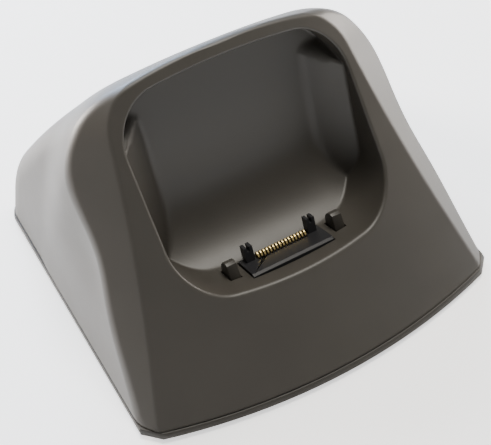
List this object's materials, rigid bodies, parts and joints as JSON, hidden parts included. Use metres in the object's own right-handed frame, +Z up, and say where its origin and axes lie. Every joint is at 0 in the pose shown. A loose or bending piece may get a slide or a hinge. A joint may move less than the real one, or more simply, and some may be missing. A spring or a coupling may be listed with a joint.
{
  "type": "charging cradle",
  "caption": "Desktop charging cradle for a handheld organiser: flared housing with a sloping face, a deep slanted pocket, and a docking connector with spring contacts at its foot.",
  "frame": {"origin": "on the table, under the middle of the cradle's width and length", "axes": "+X to the right seen from the front, +Y to the back, +Z up"},
  "size_m": [0.113, 0.107, 0.073],
  "materials": {
    "housing_plastic": "fine moulded texture, dark warm charcoal",
    "connector_plastic": "satin black glass-filled moulding",
    "contact_gold": "gold plated",
    "header_plastic": "natural nylon",
    "circuit_board": "green solder mask",
    "flat_cable": "white polyester film",
    "foot_rubber": "matte",
    "can_aluminium": "drawn",
    "plated_steel": "zinc plated"
  },
  "bodies": {
    "housing": {"ballast_plate": "plated_steel", "base_cover": "housing_plastic", "base_screws": "plated_steel", "board_screws": "plated_steel", "capacitors": "can_aluminium", "charge_chip": "connector_plastic", "dc_jack": "connector_plastic", "dc_pin": "contact_gold", "flat_cable": "flat_cable", "foot_front_left": "foot_rubber", "foot_front_right": "foot_rubber", "foot_rear_left": "foot_rubber", "foot_rear_right": "foot_rubber", "inductor": "connector_plastic", "main_board": "circuit_board", "main_header": "header_plastic", "rocker_pin": "plated_steel", "rocker_spring": "plated_steel", "top_housing": "housing_plastic", "usb_shell": "plated_steel", "usb_tongue": "connector_plastic"},
    "rocker": {"dock_rocker": "housing_plastic", "dock_connector": "connector_plastic", "dock_board": "circuit_board", "dock_header": "header_plastic"},
    "leaf_01": {"contact_01": "contact_gold"},
    "leaf_02": {"contact_02": "contact_gold"},
    "leaf_03": {"contact_03": "contact_gold"},
    "leaf_04": {"contact_04": "contact_gold"},
    "leaf_05": {"contact_05": "contact_gold"},
    "leaf_06": {"contact_06": "contact_gold"},
    "leaf_07": {"contact_07": "contact_gold"},
    "leaf_08": {"contact_08": "contact_gold"},
    "leaf_09": {"contact_09": "contact_gold"},
    "leaf_10": {"contact_10": "contact_gold"},
    "leaf_11": {"contact_11": "contact_gold"},
    "leaf_12": {"contact_12": "contact_gold"},
    "leaf_13": {"contact_13": "contact_gold"},
    "leaf_14": {"contact_14": "contact_gold"},
    "leaf_15": {"contact_15": "contact_gold"},
    "leaf_16": {"contact_16": "contact_gold"}
  },
  "joints": [
    {"name": "rocker_tilt", "type": "hinge", "parent": "housing", "child": "rocker", "pos_m": [0, -0.02689, 0.0103], "axis": [1, 0, 0], "range_deg": [-2, 2], "stiffness_Nm_per_rad": 0.05},
    {"name": "contact_01_bend", "type": "hinge", "parent": "rocker", "child": "leaf_01", "pos_m": [-0.0075, -0.02121, 0.01448], "axis": [1, 0, 0], "range_deg": [-3, 0], "stiffness_Nm_per_rad": 0.04},
    {"name": "contact_02_bend", "type": "hinge", "parent": "rocker", "child": "leaf_02", "pos_m": [-0.0065, -0.02121, 0.01448], "axis": [1, 0, 0], "range_deg": [-3, 0], "stiffness_Nm_per_rad": 0.04},
    {"name": "contact_03_bend", "type": "hinge", "parent": "rocker", "child": "leaf_03", "pos_m": [-0.0055, -0.02121, 0.01448], "axis": [1, 0, 0], "range_deg": [-3, 0], "stiffness_Nm_per_rad": 0.04},
    {"name": "contact_04_bend", "type": "hinge", "parent": "rocker", "child": "leaf_04", "pos_m": [-0.0045, -0.02121, 0.01448], "axis": [1, 0, 0], "range_deg": [-3, 0], "stiffness_Nm_per_rad": 0.04},
    {"name": "contact_05_bend", "type": "hinge", "parent": "rocker", "child": "leaf_05", "pos_m": [-0.0035, -0.02121, 0.01448], "axis": [1, 0, 0], "range_deg": [-3, 0], "stiffness_Nm_per_rad": 0.04},
    {"name": "contact_06_bend", "type": "hinge", "parent": "rocker", "child": "leaf_06", "pos_m": [-0.0025, -0.02121, 0.01448], "axis": [1, 0, 0], "range_deg": [-3, 0], "stiffness_Nm_per_rad": 0.04},
    {"name": "contact_07_bend", "type": "hinge", "parent": "rocker", "child": "leaf_07", "pos_m": [-0.0015, -0.02121, 0.01448], "axis": [1, 0, 0], "range_deg": [-3, 0], "stiffness_Nm_per_rad": 0.04},
    {"name": "contact_08_bend", "type": "hinge", "parent": "rocker", "child": "leaf_08", "pos_m": [-0.0005, -0.02121, 0.01448], "axis": [1, 0, 0], "range_deg": [-3, 0], "stiffness_Nm_per_rad": 0.04},
    {"name": "contact_09_bend", "type": "hinge", "parent": "rocker", "child": "leaf_09", "pos_m": [0.0005, -0.02121, 0.01448], "axis": [1, 0, 0], "range_deg": [-3, 0], "stiffness_Nm_per_rad": 0.04},
    {"name": "contact_10_bend", "type": "hinge", "parent": "rocker", "child": "leaf_10", "pos_m": [0.0015, -0.02121, 0.01448], "axis": [1, 0, 0], "range_deg": [-3, 0], "stiffness_Nm_per_rad": 0.04},
    {"name": "contact_11_bend", "type": "hinge", "parent": "rocker", "child": "leaf_11", "pos_m": [0.0025, -0.02121, 0.01448], "axis": [1, 0, 0], "range_deg": [-3, 0], "stiffness_Nm_per_rad": 0.04},
    {"name": "contact_12_bend", "type": "hinge", "parent": "rocker", "child": "leaf_12", "pos_m": [0.0035, -0.02121, 0.01448], "axis": [1, 0, 0], "range_deg": [-3, 0], "stiffness_Nm_per_rad": 0.04},
    {"name": "contact_13_bend", "type": "hinge", "parent": "rocker", "child": "leaf_13", "pos_m": [0.0045, -0.02121, 0.01448], "axis": [1, 0, 0], "range_deg": [-3, 0], "stiffness_Nm_per_rad": 0.04},
    {"name": "contact_14_bend", "type": "hinge", "parent": "rocker", "child": "leaf_14", "pos_m": [0.0055, -0.02121, 0.01448], "axis": [1, 0, 0], "range_deg": [-3, 0], "stiffness_Nm_per_rad": 0.04},
    {"name": "contact_15_bend", "type": "hinge", "parent": "rocker", "child": "leaf_15", "pos_m": [0.0065, -0.02121, 0.01448], "axis": [1, 0, 0], "range_deg": [-3, 0], "stiffness_Nm_per_rad": 0.04},
    {"name": "contact_16_bend", "type": "hinge", "parent": "rocker", "child": "leaf_16", "pos_m": [0.0075, -0.02121, 0.01448], "axis": [1, 0, 0], "range_deg": [-3, 0], "stiffness_Nm_per_rad": 0.04}
  ]
}
